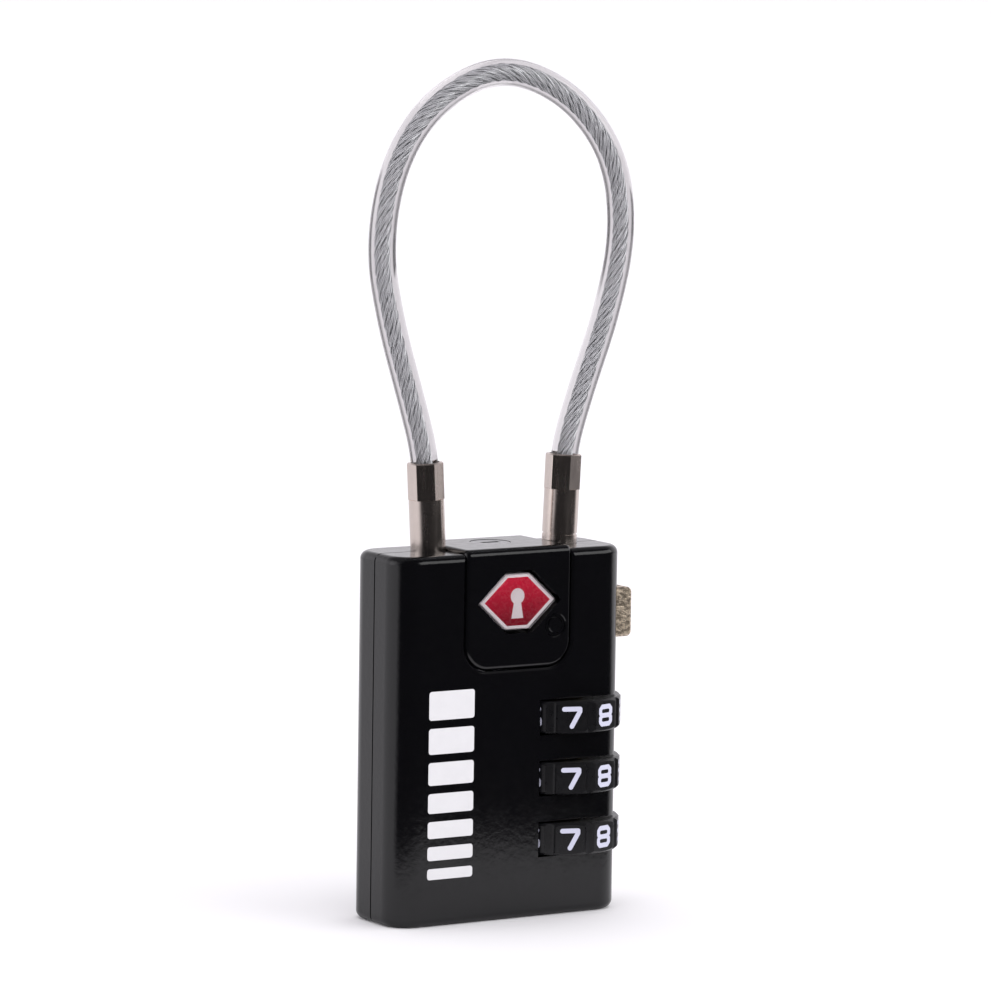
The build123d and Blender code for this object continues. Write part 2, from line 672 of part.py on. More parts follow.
def key_plug():
    plug = upright(0, 0, PLUG_RADIUS, PLUG_BOTTOM, MODULE_TOP - 0.05)
    plug += upright(0, 0, STUD_RADIUS, LATCH_BOTTOM + 0.1, PLUG_BOTTOM)
    plug -= keyway(0)
    clip_top = CLIP_BOTTOM + CLIP_THICKNESS
    plug -= upright(0, 0, 3, CLIP_BOTTOM, clip_top) - upright(0, 0, CLIP_INNER, CLIP_BOTTOM, clip_top)
    for z in WAFER_HEIGHTS:
        plug -= wafer_block(z)
    return Pos(KEY_X, KEY_Y, 0) * plug


def key_wafers():
    wafers = [Pos(KEY_X, KEY_Y, 0) * (wafer_block(z) - keyway(0.1)) for z in WAFER_HEIGHTS]
    return Compound(children=wafers)


def key_cam():
    low = LATCH_BOTTOM + 0.1
    high = LATCH_TOP - 0.1
    cam = upright(0, 0, CAM_HUB, low, high)
    cam += box((-0.6, 0, low), (0.6, CAM_REACH, high))
    cam -= upright(0, 0, STUD_RADIUS, low - 1, high + 1)
    return Pos(KEY_X, KEY_Y, 0) * cam


def plug_clip():
    """An open snap ring in the plug's groove."""
    top = CLIP_BOTTOM + CLIP_THICKNESS
    ring = upright(0, 0, CLIP_OUTER, CLIP_BOTTOM, top) - upright(0, 0, CLIP_INNER, CLIP_BOTTOM - 1, top + 1)
    ring -= box((-0.5, 0, CLIP_BOTTOM - 1), (0.5, 5, top + 1))
    return Pos(KEY_X, KEY_Y, 0) * ring


def build():
    """Every piece of the lock, by node name."""
    block = case_block()
    parts = {
        "front_shell": half_case(block, -1),
        "back_shell": half_case(block, 1),
        "key_module": key_module(),
        "emblem_backplate": emblem_backplate(),
        "emblem_lens": emblem_lens(),
        "locating_pins": locating_pins(),
        "fixed_ferrule": fixed_ferrule(),
        "ferrule_cross_pin": ferrule_cross_pin(),
        "free_ferrule": free_ferrule(),
        "release_button": release_button(),
        "latch_plate": latch_plate(),
        "button_spring": button_spring(),
        "dial_spindle": dial_spindle(),
        "spindle_spring": spindle_spring(),
        "detent_spring": detent_spring(),
        "key_plug": key_plug(),
        "key_wafers": key_wafers(),
        "key_cam": key_cam(),
        "plug_clip": plug_clip(),
    }
    path = cable_path()
    parts["cable_core"] = cable_piece(path, CORE_RADIUS)
    parts["cable_jacket"] = cable_piece(path, JACKET_RADIUS, JACKET_INNER)
    dial = number_dial(digit_solids(DIGIT_DEPTH, DIGIT_DEPTH + 1))
    numerals = digit_solids(DIGIT_DEPTH, DIGIT_FILL)
    for k, z in enumerate(DIAL_HEIGHTS, start=1):
        place = Pos(DIAL_X, 0, z)
        parts[f"number_dial_{k}"] = place * dial
        parts[f"dial_numerals_{k}"] = Compound(children=[place * n for n in numerals])
        parts[f"dial_sleeve_{k}"] = place * dial_sleeve()
    return parts


os.makedirs("parts", exist_ok=True)
for name, shape in build().items():
    export_step(shape, f"parts/{name}.step")
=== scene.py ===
"""A cable luggage lock: finishes for the case, dials and ends; wire rope, jacket, emblem and print."""

import math

import bmesh
import bpy
from bpy.props import FloatProperty, FloatVectorProperty, IntProperty, PointerProperty
from mathutils import Matrix, Vector


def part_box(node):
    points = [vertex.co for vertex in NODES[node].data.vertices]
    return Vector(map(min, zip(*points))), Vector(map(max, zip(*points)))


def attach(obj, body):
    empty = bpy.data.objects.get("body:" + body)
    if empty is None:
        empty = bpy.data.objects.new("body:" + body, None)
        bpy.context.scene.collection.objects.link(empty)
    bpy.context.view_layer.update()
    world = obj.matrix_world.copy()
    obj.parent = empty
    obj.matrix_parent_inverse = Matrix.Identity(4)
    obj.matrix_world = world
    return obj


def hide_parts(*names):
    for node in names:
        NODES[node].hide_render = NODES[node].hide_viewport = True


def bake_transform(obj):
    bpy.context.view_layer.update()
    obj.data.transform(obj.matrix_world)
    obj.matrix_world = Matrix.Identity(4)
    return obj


bl_info = {
    "name": "Cable luggage lock",
    "version": (1, 0, 0),
    "blender": (4, 5, 0),
    "location": "View3D > Sidebar > Lock",
    "description": "Builds the looks of a cable luggage lock round its fixed frame",
    "category": "Object",
}

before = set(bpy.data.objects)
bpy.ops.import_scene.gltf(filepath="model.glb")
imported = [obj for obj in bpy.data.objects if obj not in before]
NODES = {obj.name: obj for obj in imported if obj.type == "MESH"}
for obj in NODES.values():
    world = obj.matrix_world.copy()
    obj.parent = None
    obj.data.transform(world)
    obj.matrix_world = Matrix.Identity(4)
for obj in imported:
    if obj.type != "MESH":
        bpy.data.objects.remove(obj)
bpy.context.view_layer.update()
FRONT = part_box("front_shell")[0].y
EMBLEM_LOW, EMBLEM_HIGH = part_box("emblem_backplate")
LENS_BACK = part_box("emblem_lens")[1].y

# the noise values that a finish's roughness is spread over
NOISE_LOW = 0.3
NOISE_HIGH = 0.7

# meshes, in metres
MERGE_DISTANCE = 0.0000005
FIXED_PART_SHARP = math.radians(28)
NEW_PIECE_SHARP = math.radians(35)

# rope and jacket: steps along the line in metres, offsets in wire radii, and the heart's radius as a
# share of the radius that the strands run at
ROUTE_RESOLUTION = 24
ROPE_STEP = 0.00032
JACKET_STEP = 0.0005
STRAND_WIRES = 3
STRAND_RADIUS = 2.05
WIRE_OFFSET = 1.1
HEART_SHARE = 0.86
WIRE_ROUNDING = 1
JACKET_ROUNDING = 14

# emblem, in metres; the top edge is a share of its half width, and the rim's three widths are
# shares of the rim setting; each step of the dome is an inset and a rise
EMBLEM_TOP_SHARE = 0.31
PLATE_SETBACK = 0.00006
PLATE_MARGIN = 0.00002
PLATE_EDGE = 0.00012
RIM_AT_TIP = 1.2
RIM_AT_CORNER = 0.4
RIM_AT_TOP = 0.75
FIELD_SINK = 0.00002
FIELD_RISE = 0.00003
SIGN_RISE = 0.00005
SIGN_RADIUS = 0.00098
DOME_SINK = 0.00004
DOME_WALL = 0.00012
DOME_STEPS = ((0.00014, 0.00012), (0.0003, 0.00009), (0.0006, 0.00004), (0.0009, 0.00001))

# keyhole sign: its head's arc in degrees, and lengths in head radii
HEAD_START = -58
HEAD_STOP = 238
HEAD_STEPS = 28
HEAD_RISE = 0.65
SKIRT_DROP = 2.75
SKIRT_HALF_WIDTH = 0.86

# printed bars
BAR_TAPER = 0.62
BAR_CORNER = 0.00035
BAR_CORNER_STEPS = 5
INK_SINK = 0.000005

# stage: the overhead and ceiling limits are the upward part of a unit direction, the rope key's are
# its part towards the key, the sensor is in millimetres and the rest is in metres
FLOOR_SEGMENTS = 96
FLOOR_DROP = 0.00002
LIGHT_TINT = (0.98, 0.955, 1.0, 1)
OVERHEAD_FROM = 0.3
OVERHEAD_TO = 0.75
CEILING_FROM = 0.55
CEILING_TO = 0.8
ROPE_KEY_FROM = -0.3
ROPE_KEY_TO = 0.8
LIGHT_TARGET = (0, 0, 0.05)
LEFT_PLACE = (-0.62, 0.22, 0.28)
LEFT_SIZE = (0.35, 0.6)
RIGHT_PLACE = (0.51, -0.51, 0.39)
RIGHT_SIZE = (0.9, 0.4)
SENSOR_WIDTH = 36
CAMERA_SHIFT = (0.0003, 0.0024)
CAMERA_CLIP = (0.02, 50)

# the cable's centreline, as x and z in metres in the plane of the loop
ROUTE = [
    (-0.0093, 0.0534),
    (-0.0094, 0.0564),
    (-0.0113, 0.0629),
    (-0.0144, 0.0724),
    (-0.0163, 0.0818),
    (-0.0143, 0.0922),
    (-0.0087, 0.0995),
    (0.0006, 0.1035),
    (0.0104, 0.1002),
    (0.0172, 0.0926),
    (0.0187, 0.0830),
    (0.0165, 0.0732),
    (0.0129, 0.0639),
    (0.0105, 0.0566),
    (0.0104, 0.0536),
]


# ---------------------------------------------------------------- materials


class Finish:
    """One node material, built up a step at a time."""

    def __init__(self, name):
        self.material = bpy.data.materials.new(f"{name}_finish")
        self.material.use_nodes = True
        self.nodes = self.material.node_tree.nodes
        self.links = self.material.node_tree.links
        self.shader = self.nodes["Principled BSDF"]
        self.place = self.nodes.new("ShaderNodeTexCoord")

    def set(self, **values):
        for name, value in values.items():
            self.shader.inputs[name.replace("_", " ")].default_value = value
        return self

    def noise(self, scale, detail=3.0, roughness=0.5, stretch=(1, 1, 1)):
        """Noise in the piece's own place, in metres, drawn out along an axis by a small stretch."""
        mapping = self.nodes.new("ShaderNodeMapping")
        mapping.inputs["Scale"].default_value = stretch
        self.links.new(self.place.outputs["Object"], mapping.inputs["Vector"])
        node = self.nodes.new("ShaderNodeTexNoise")
        node.inputs["Scale"].default_value = scale
        node.inputs["Detail"].default_value = detail
        node.inputs["Roughness"].default_value = roughness
        self.links.new(mapping.outputs["Vector"], node.inputs["Vector"])
        return node.outputs["Fac"]

    def span(self, value, low, high, to_low=0.0, to_high=1.0):
        """Carries a value from one span to another."""
        node = self.nodes.new("ShaderNodeMapRange")
        node.inputs["From Min"].default_value = low
        node.inputs["From Max"].default_value = high
        node.inputs["To Min"].default_value = to_low
        node.inputs["To Max"].default_value = to_high
        self.links.new(value, node.inputs["Value"])
        return node.outputs["Result"]

    def blend(self, factor, first, second):
        """A colour between two colours."""
        node = self.nodes.new("ShaderNodeMix")
        node.data_type = "RGBA"
        self.links.new(factor, node.inputs["Factor"])
        node.inputs["A"].default_value = (*first, 1)
        node.inputs["B"].default_value = (*second, 1)
        return node.outputs["Result"]

    def drive(self, socket, value):
        self.links.new(value, self.shader.inputs[socket])
        return self

    def rough(self, value, low, high):
        """Roughness that runs between two values with a noise."""
        return self.drive("Roughness", self.span(value, NOISE_LOW, NOISE_HIGH, low, high))

    def bump(self, *layers):
        """Layers of (height, depth in metres, strength), the finest last."""
        normal = None
        for height, depth, strength in layers:
            node = self.nodes.new("ShaderNodeBump")
            node.inputs["Distance"].default_value = depth
            node.inputs["Strength"].default_value = strength
            self.links.new(height, node.inputs["Height"])
            if normal is not None:
                self.links.new(normal, node.inputs["Normal"])
            normal = node.outputs["Normal"]
        self.links.new(normal, self.shader.inputs["Normal"])
        return self


def black_enamel(look):
    finish = Finish("black_enamel").set(Metallic=0.0, IOR=1.52)
    patches = finish.noise(260, 2)
    finish.drive("Base Color", finish.blend(patches, look.enamel, [c * 1.5 for c in look.enamel]))
    wear = finish.noise(900, 4, 0.6)
    blur = look.enamel_roughness
    finish.rough(wear, blur - 0.03, blur + 0.05)
    peel = finish.noise(1500, 1.5)
    pits = finish.noise(5200, 2, 0.6)
    return finish.bump((peel, 0.00005, 0.3), (pits, 0.000012, 0.35)).material


def dial_plastic(look):
    finish = Finish("dial_plastic").set(Metallic=0.0, IOR=1.5)
    patches = finish.noise(700, 2)
    finish.drive("Base Color", finish.blend(patches, look.dial, [c * 1.4 for c in look.dial]))
    finish.rough(finish.noise(1800, 3), 0.26, 0.36)
    return finish.bump((finish.noise(4200, 2), 0.000006, 0.25)).material


def numeral_paint(look):
    finish = Finish("numeral_paint").set(Metallic=0.0, IOR=1.45)
    fade = finish.noise(1500, 3)
    darker = [c * 0.9 for c in look.numeral]
    finish.drive("Base Color", finish.blend(fade, darker, look.numeral))
    finish.rough(fade, 0.42, 0.55)
    return finish.bump((finish.noise(5000, 2), 0.000005, 0.2)).material


def print_ink(look):
    finish = Finish("print_ink").set(Metallic=0.0, IOR=1.48)
    fade = finish.noise(800, 4, 0.6)
    darker = [c * 0.93 for c in look.ink]
    finish.drive("Base Color", finish.blend(fade, darker, look.ink))
    finish.rough(fade, 0.3, 0.42)
    return finish.bump((finish.noise(2600, 2), 0.000006, 0.25)).material


def bright_nickel(look):
    finish = Finish("bright_nickel").set(Metallic=1.0)
    patches = finish.noise(900, 3)
    darker = [c * 0.86 for c in look.nickel]
    finish.drive("Base Color", finish.blend(patches, darker, look.nickel))
    drawn = finish.noise(1500, 4, 0.6, (1, 1, 0.12))
    finish.rough(drawn, 0.17, 0.3)
    grain = finish.noise(3800, 3, 0.6)
    return finish.bump((drawn, 0.000012, 0.18), (grain, 0.000006, 0.22)).material


def cast_nickel(look):
    finish = Finish("cast_nickel").set(Metallic=1.0)
    grain = finish.noise(1800, 4, 0.6, (1, 1, 1.6))
    darker = [c * 0.42 for c in look.cast]
    finish.drive("Base Color", finish.blend(finish.span(grain, 0.42, 0.56), darker, look.cast))
    finish.drive("Roughness", finish.span(grain, 0.4, 0.6, 0.5, 0.3))
    pits = finish.noise(4200, 3, 0.6)
    return finish.bump((grain, 0.0003, 0.8), (pits, 0.00004, 0.5)).material


def rope_steel(look):
    finish = Finish("rope_steel").set(Metallic=0.86)
    patches = finish.noise(1400, 3)
    darker = [c * 0.8 for c in look.rope]
    finish.drive("Base Color", finish.blend(patches, darker, look.rope))
    finish.rough(finish.noise(3000, 2), 0.3, 0.48)
    return finish.bump((finish.noise(9000, 2), 0.000004, 0.25)).material


def clear_jacket(look):
    finish = Finish("clear_jacket").set(Metallic=0.0, IOR=1.5, Transmission_Weight=1.0)
    finish.set(Base_Color=(*look.jacket, 1))
    finish.rough(finish.noise(500, 3), 0.015, 0.05)
    return finish.bump((finish.noise(700, 2), 0.00002, 0.12)).material


def clear_lens(look):
    """Clear resin: gloss over what lies straight behind it."""
    finish = Finish("clear_lens")
    finish.nodes.remove(finish.shader)
    gloss = finish.nodes.new("ShaderNodeBsdfGlossy")
    gloss.inputs["Roughness"].default_value = 0.04
    clear = finish.nodes.new("ShaderNodeBsdfTransparent")
    facing = finish.nodes.new("ShaderNodeFresnel")
    facing.inputs["IOR"].default_value = 1.5
    both = finish.nodes.new("ShaderNodeMixShader")
    finish.links.new(facing.outputs["Fac"], both.inputs["Fac"])
    finish.links.new(clear.outputs["BSDF"], both.inputs[1])
    finish.links.new(gloss.outputs["BSDF"], both.inputs[2])
    out = finish.nodes["Material Output"]
    finish.links.new(both.outputs["Shader"], out.inputs["Surface"])
    return finish.material


def emblem_red(look):
    finish = Finish("emblem_red").set(Metallic=0.0, IOR=1.5)
    split = finish.nodes.new("ShaderNodeSeparateXYZ")
    finish.links.new(finish.place.outputs["Object"], split.inputs["Vector"])
    # painted shade: the red runs from dark at the bottom of the field to bright at its top, standing in for
    # the dome's shading
    height = finish.span(split.outputs["Z"], EMBLEM_LOW.z + 0.0008, EMBLEM_HIGH.z - 0.0015)
    darker = [c * 0.36 for c in look.red]
    finish.drive("Base Color", finish.blend(height, darker, look.red))
    finish.rough(finish.noise(2200, 3), 0.22, 0.32)
    return finish.bump((finish.noise(6000, 2), 0.000003, 0.2)).material


def emblem_white(look):
    finish = Finish("emblem_white").set(Metallic=0.0, IOR=1.5)
    shade = finish.noise(700, 2)
    finish.drive("Base Color", finish.blend(shade, (0.86, 0.78, 0.80), (0.93, 0.86, 0.88)))
    finish.rough(shade, 0.28, 0.38)
    return finish.bump((finish.noise(5000, 2), 0.000003, 0.2)).material


def machined_steel(look):
    finish = Finish("machined_steel").set(Metallic=1.0)
    patches = finish.noise(1100, 3)
    finish.drive("Base Color", finish.blend(patches, (0.4, 0.4, 0.41), (0.56, 0.56, 0.57)))
    turned = finish.noise(1800, 4, 0.6, (1, 1, 0.2))
    finish.rough(turned, 0.28, 0.42)
    return finish.bump((turned, 0.00001, 0.2)).material


def machined_brass(look):
    finish = Finish("machined_brass").set(Metallic=1.0)
    patches = finish.noise(900, 3)
    finish.drive("Base Color", finish.blend(patches, (0.56, 0.4, 0.16), (0.74, 0.56, 0.26)))
    turned = finish.noise(1800, 4, 0.6, (1, 1, 0.2))
    finish.rough(turned, 0.24, 0.38)
    return finish.bump((turned, 0.00001, 0.2)).material


FINISHES = {
    "black_enamel": black_enamel,
    "dial_plastic": dial_plastic,
    "numeral_paint": numeral_paint,
    "print_ink": print_ink,
    "bright_nickel": bright_nickel,
    "cast_nickel": cast_nickel,
    "rope_steel": rope_steel,
    "clear_jacket": clear_jacket,
    "clear_lens": clear_lens,
    "emblem_red": emblem_red,
    "emblem_white": emblem_white,
    "machined_steel": machined_steel,
    "machined_brass": machined_brass,
}


def finish_named(name):
    """A finish, made when it is first asked for."""
    return bpy.data.materials.get(f"{name}_finish") or FINISHES[name](bpy.context.scene.lock_look)


# ---------------------------------------------------------------- pieces


def smooth_group():
    """Joins loose faces and smooths over every edge but the sharp ones."""
    group = bpy.data.node_groups.get("smooth_over")
    if group:
        return group
    group = bpy.data.node_groups.new("smooth_over", "GeometryNodeTree")
    group.interface.new_socket("Geometry", in_out="INPUT", socket_type="NodeSocketGeometry")
    group.interface.new_socket("Geometry", in_out="OUTPUT", socket_type="NodeSocketGeometry")
    start = group.nodes.new("NodeGroupInput")
    merge = group.nodes.new("GeometryNodeMergeByDistance")
    merge.inputs["Distance"].default_value = MERGE_DISTANCE
    faces = group.nodes.new("GeometryNodeSetShadeSmooth")
    edges = group.nodes.new("GeometryNodeSetShadeSmooth")
    edges.domain = "EDGE"
    edges.inputs["Shade Smooth"].default_value = False
    angle = group.nodes.new("GeometryNodeInputMeshEdgeAngle")
    sharp = group.nodes.new("FunctionNodeCompare")
    sharp.operation = "GREATER_THAN"
    sharp.inputs["B"].default_value = FIXED_PART_SHARP
    end = group.nodes.new("NodeGroupOutput")
    link = group.links.new
    link(start.outputs[0], merge.inputs["Geometry"])
    link(merge.outputs["Geometry"], faces.inputs["Geometry"])
    link(faces.outputs["Geometry"], edges.inputs["Geometry"])
    link(angle.outputs["Unsigned Angle"], sharp.inputs["A"])
    link(sharp.outputs["Result"], edges.inputs["Selection"])
    link(edges.outputs["Geometry"], end.inputs[0])
    return group


def dress(node, finish):
    """Gives a fixed part its finish and a smooth skin."""
    piece = NODES[node]
    if not piece.material_slots:
        piece.data.materials.append(None)
    for slot in piece.material_slots:
        slot.link = "OBJECT"
        slot.material = finish_named(finish)
    smooth = piece.modifiers.new("smooth_over", "NODES")
    smooth.node_group = smooth_group()
    weigh = piece.modifiers.new("weigh_normals", "WEIGHTED_NORMAL")
    weigh.keep_sharp = True
    return piece


def new_piece(name, mesh, finish, body=None):
    """Links a mesh as a piece of the lock."""
    piece = bpy.data.objects.new(name, mesh)
    bpy.context.scene.collection.objects.link(piece)
    mesh.materials.clear()
    mesh.materials.append(finish_named(finish))
    if body:
        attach(piece, body)
    return piece


def mesh_from(bm, name):
    """A smooth-shaded mesh with its sharp edges kept."""
    mesh = bpy.data.meshes.new(name)
    bmesh.ops.recalc_face_normals(bm, faces=bm.faces)
    bm.to_mesh(mesh)
    bm.free()
    mesh.shade_smooth()
    mesh.set_sharp_from_angle(angle=NEW_PIECE_SHARP)
    return mesh


def outline_face(bm, points, y):
    """A flat face facing the front, from (x, z) points."""
    corners = [bm.verts.new((x, y, z)) for x, z in points]
    face = bm.faces.new(corners)
    face.normal_update()
    if face.normal.y > 0:
        face.normal_flip()
    return face


def slab(points, y_back, y_front, edge, name):
    """A flat slab facing the front, with its front rim rounded."""
    bm = bmesh.new()
    face = outline_face(bm, points, y_back)
    made = bmesh.ops.extrude_face_region(bm, geom=[face])
    moved = [v for v in made["geom"] if isinstance(v, bmesh.types.BMVert)]
    bmesh.ops.translate(bm, verts=moved, vec=(0, y_front - y_back, 0))
    bmesh.ops.recalc_face_normals(bm, faces=bm.faces)
    if edge:
        rim = [e for e in bm.edges if all(abs(v.co.y - y_front) < 1e-7 for v in e.verts)]
        bmesh.ops.bevel(bm, geom=rim, offset=edge, segments=3, profile=0.5, affect="EDGES", material=-1)
    return mesh_from(bm, name)


def hexagon_points(half_width, half_top, half_height):
    """The corners of a six-sided outline round the emblem's middle."""
    centre_x = (EMBLEM_LOW.x + EMBLEM_HIGH.x) / 2
    centre_z = (EMBLEM_LOW.z + EMBLEM_HIGH.z) / 2
    corners = [
        (-half_width, 0),
        (-half_top, half_height),
        (half_top, half_height),
        (half_width, 0),
        (half_top, -half_height),
        (-half_top, -half_height),
    ]
    return [(centre_x + x, centre_z + z) for x, z in corners]


# ---------------------------------------------------------------- cable


def route_line():
    """The cable's smooth centreline, as points."""
    curve = bpy.data.curves.new("cable_route", "CURVE")
    curve.dimensions = "3D"
    curve.resolution_u = ROUTE_RESOLUTION
    spline = curve.splines.new("NURBS")
    spline.points.add(len(ROUTE) - 1)
    for point, (x, z) in zip(spline.points, ROUTE):
        point.co = (x, 0, z, 1)
    spline.order_u = 3
    spline.use_endpoint_u = True
    holder = bpy.data.objects.new("cable_route", curve)
    bpy.context.scene.collection.objects.link(holder)
    bpy.context.view_layer.update()
    mesh = bpy.data.meshes.new_from_object(holder)
    points = [v.co.copy() for v in mesh.vertices]
    bpy.data.objects.remove(holder)
    bpy.data.curves.remove(curve)
    bpy.data.meshes.remove(mesh)
    return points


def even_line(points, step):
    """The same line with its points an even step apart, with each point's distance along it."""
    lengths = [0.0]
    for a, b in zip(points, points[1:]):
        lengths.append(lengths[-1] + (b - a).length)
    count = round(lengths[-1] / step)
    line = []
    k = 0
    for i in range(count + 1):
        s = lengths[-1] * i / count
        while k < len(points) - 2 and lengths[k + 1] < s:
            k += 1
        share = (s - lengths[k]) / (lengths[k + 1] - lengths[k])
        line.append((points[k].lerp(points[k + 1], share), s))
    return line


def line_frames(line):
    """Each point's two cross directions. The loop is flat, so one of them is always Y."""
    frames = []
    for i in range(len(line)):
        before = line[max(i - 1, 0)][0]
        after = line[min(i + 1, len(line) - 1)][0]
        tangent = (after - before).normalized()
        side = Vector((0, 1, 0))
        frames.append((side, tangent.cross(side).normalized()))
    return frames


def tube_mesh(name, lines, radius, resolution):
    """A mesh of round wires, each along its own line of (point, thickness share)."""
    curve = bpy.data.curves.new(name, "CURVE")
    curve.dimensions = "3D"
    curve.bevel_depth = radius
    curve.bevel_resolution = resolution
    curve.use_fill_caps = True
    for line in lines:
        spline = curve.splines.new("POLY")
        spline.points.add(len(line) - 1)
        for point, (place, share) in zip(spline.points, line):
            point.co = (*place, 1)
            point.radius = share
    holder = bpy.data.objects.new(name, curve)
    bpy.context.scene.collection.objects.link(holder)
    bpy.context.view_layer.update()
    mesh = bpy.data.meshes.new_from_object(holder)
    bpy.data.objects.remove(holder)
    bpy.data.curves.remove(curve)
    bm = bmesh.new()
    bm.from_mesh(mesh)
    bpy.data.meshes.remove(mesh)
    return mesh_from(bm, name)


def rope_lines(look):
    """Strands of three wires each round a plain heart."""
    line = even_line(route_line(), ROPE_STEP)
    frames = line_frames(line)
    ring = look.rope_radius - look.wire_radius * STRAND_RADIUS
    little = look.wire_radius * WIRE_OFFSET
    wires = []
    for strand in range(look.rope_strands):
        for wire in range(STRAND_WIRES):
            places = []
            for (centre, s), (side, across) in zip(line, frames):
                turn = 2 * math.pi * (s / look.rope_pitch + strand / look.rope_strands)
                twist = 2 * math.pi * (s / look.strand_pitch + wire / STRAND_WIRES) - turn
                out = side * math.cos(turn) + across * math.sin(turn)
                around = across * math.cos(turn) - side * math.sin(turn)
                offset = out * (ring + little * math.cos(twist)) + around * little * math.sin(twist)
                places.append((centre + offset, 1.0))
            wires.append(places)
    heart_share = ring / look.wire_radius * HEART_SHARE
    wires.append([(centre, heart_share) for centre, _ in line])
    return wires


class LOCK_OT_cable(bpy.types.Operator):
    """Make the wire rope and its clear jacket"""

    bl_idname = "lock.cable"
    bl_label = "Cable"

    def execute(self, context):
        look = context.scene.lock_look
        wires = rope_lines(look)
        rope_mesh = tube_mesh("wire_rope", wires, look.wire_radius, WIRE_ROUNDING)
        rope = new_piece("wire_rope", rope_mesh, "rope_steel")
        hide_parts("cable_core")
        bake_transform(rope)
        centre = [(point, 1.0) for point, _ in even_line(route_line(), JACKET_STEP)]
        jacket_mesh = tube_mesh("cable_skin", [centre], look.jacket_radius, JACKET_ROUNDING)
        jacket = new_piece("cable_skin", jacket_mesh, "clear_jacket")
        jacket.visible_shadow = False
        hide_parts("cable_jacket")
        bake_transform(jacket)
        return {"FINISHED"}


class LOCK_OT_case(bpy.types.Operator):
    """Finish the two case halves and the key module"""

    bl_idname = "lock.case"
    bl_label = "Case"

    def execute(self, context):
        for node in ("front_shell", "back_shell", "key_module"):
            dress(node, "black_enamel")
        return {"FINISHED"}


class LOCK_OT_ends(bpy.types.Operator):
    """Finish the crimped cable ends"""

    bl_idname = "lock.ends"
    bl_label = "Cable ends"

    def execute(self, context):
        for node in ("fixed_ferrule", "free_ferrule"):
            dress(node, "bright_nickel")
        return {"FINISHED"}


class LOCK_OT_dials(bpy.types.Operator):
    """Finish the number dials, their numerals and their sleeves"""

    bl_idname = "lock.dials"
    bl_label = "Dials"

    def execute(self, context):
        for k in (1, 2, 3):
            dress(f"number_dial_{k}", "dial_plastic")
            dress(f"dial_numerals_{k}", "numeral_paint")
            dress(f"dial_sleeve_{k}", "machined_brass")
        return {"FINISHED"}


class LOCK_OT_mechanism(bpy.types.Operator):
    """Finish the button, key cylinder, latch, spindle, springs and pins"""

    bl_idname = "lock.mechanism"
    bl_label = "Mechanism"

    def execute(self, context):
        dress("release_button", "cast_nickel")
        for node in ("dial_spindle", "key_wafers"):
            dress(node, "machined_brass")
        steel = (
            "key_plug",
            "key_cam",
            "plug_clip",
            "latch_plate",
            "locating_pins",
            "ferrule_cross_pin",
            "detent_spring",
            "button_spring",
            "spindle_spring",
        )
        for node in steel:
            dress(node, "machined_steel")
        return {"FINISHED"}


class LOCK_OT_emblem(bpy.types.Operator):
    """Make the emblem: a white-rimmed red plate with a keyhole sign under a clear dome"""

    bl_idname = "lock.emblem"
    bl_label = "Emblem"

    def execute(self, context):
        look = context.scene.lock_look
        half_width = (EMBLEM_HIGH.x - EMBLEM_LOW.x) / 2
        half_height = (EMBLEM_HIGH.z - EMBLEM_LOW.z) / 2
        half_top = half_width * EMBLEM_TOP_SHARE
        plate_front = EMBLEM_LOW.y + PLATE_SETBACK
        outer = hexagon_points(half_width - PLATE_MARGIN, half_top, half_height - PLATE_MARGIN)
        plate = slab(outer, EMBLEM_HIGH.y, plate_front, PLATE_EDGE, "emblem_plate")
        plate = new_piece("emblem_plate", plate, "emblem_white", "case")
        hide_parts("emblem_backplate")
        rim = look.emblem_rim
        inner = hexagon_points(
            half_width - rim * RIM_AT_TIP, half_top - rim * RIM_AT_CORNER, half_height - rim * RIM_AT_TOP
        )
        field = slab(inner, plate_front + FIELD_SINK, plate_front - FIELD_RISE, 0, "emblem_field")
        new_piece("emblem_field", field, "emblem_red", "case")
        sign = slab(keyhole_points(SIGN_RADIUS), plate_front, plate_front - SIGN_RISE, 0, "emblem_sign")
        new_piece("emblem_sign", sign, "emblem_white", "case")
        dome = self.dome(hexagon_points(half_width, half_top, half_height))
        dome = new_piece("emblem_dome", dome, "clear_lens", "case")
        dome.visible_shadow = False
        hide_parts("emblem_lens")
        return {"FINISHED"}

    def dome(self, points):
        """A crowned clear lens on the plate's front."""
        bm = bmesh.new()
        face = outline_face(bm, points, LENS_BACK - DOME_SINK)
        made = bmesh.ops.extrude_face_region(bm, geom=[face])
        moved = [v for v in made["geom"] if isinstance(v, bmesh.types.BMVert)]
        top = next(f for f in made["geom"] if isinstance(f, bmesh.types.BMFace))
        bmesh.ops.translate(bm, verts=moved, vec=(0, -DOME_WALL, 0))
        bmesh.ops.recalc_face_normals(bm, faces=bm.faces)
        for inset, rise in DOME_STEPS:
            bmesh.ops.inset_region(bm, faces=[top], thickness=inset, depth=rise, use_even_offset=True)
        return mesh_from(bm, "emblem_dome")


def keyhole_points(radius):
    """A keyhole sign's outline: a round head and a skirt that widens downwards."""
    centre_x = (EMBLEM_LOW.x + EMBLEM_HIGH.x) / 2
    centre_z = (EMBLEM_LOW.z + EMBLEM_HIGH.z) / 2 + radius * HEAD_RISE
    points = []
    for i in range(HEAD_STEPS + 1):
        angle = math.radians(HEAD_START + (HEAD_STOP - HEAD_START) * i / HEAD_STEPS)
        points.append((centre_x + radius * math.cos(angle), centre_z + radius * math.sin(angle)))
    drop = radius * SKIRT_DROP
    half = radius * SKIRT_HALF_WIDTH
    points.append((centre_x - half, centre_z - drop))
    points.append((centre_x + half, centre_z - drop))
    return points


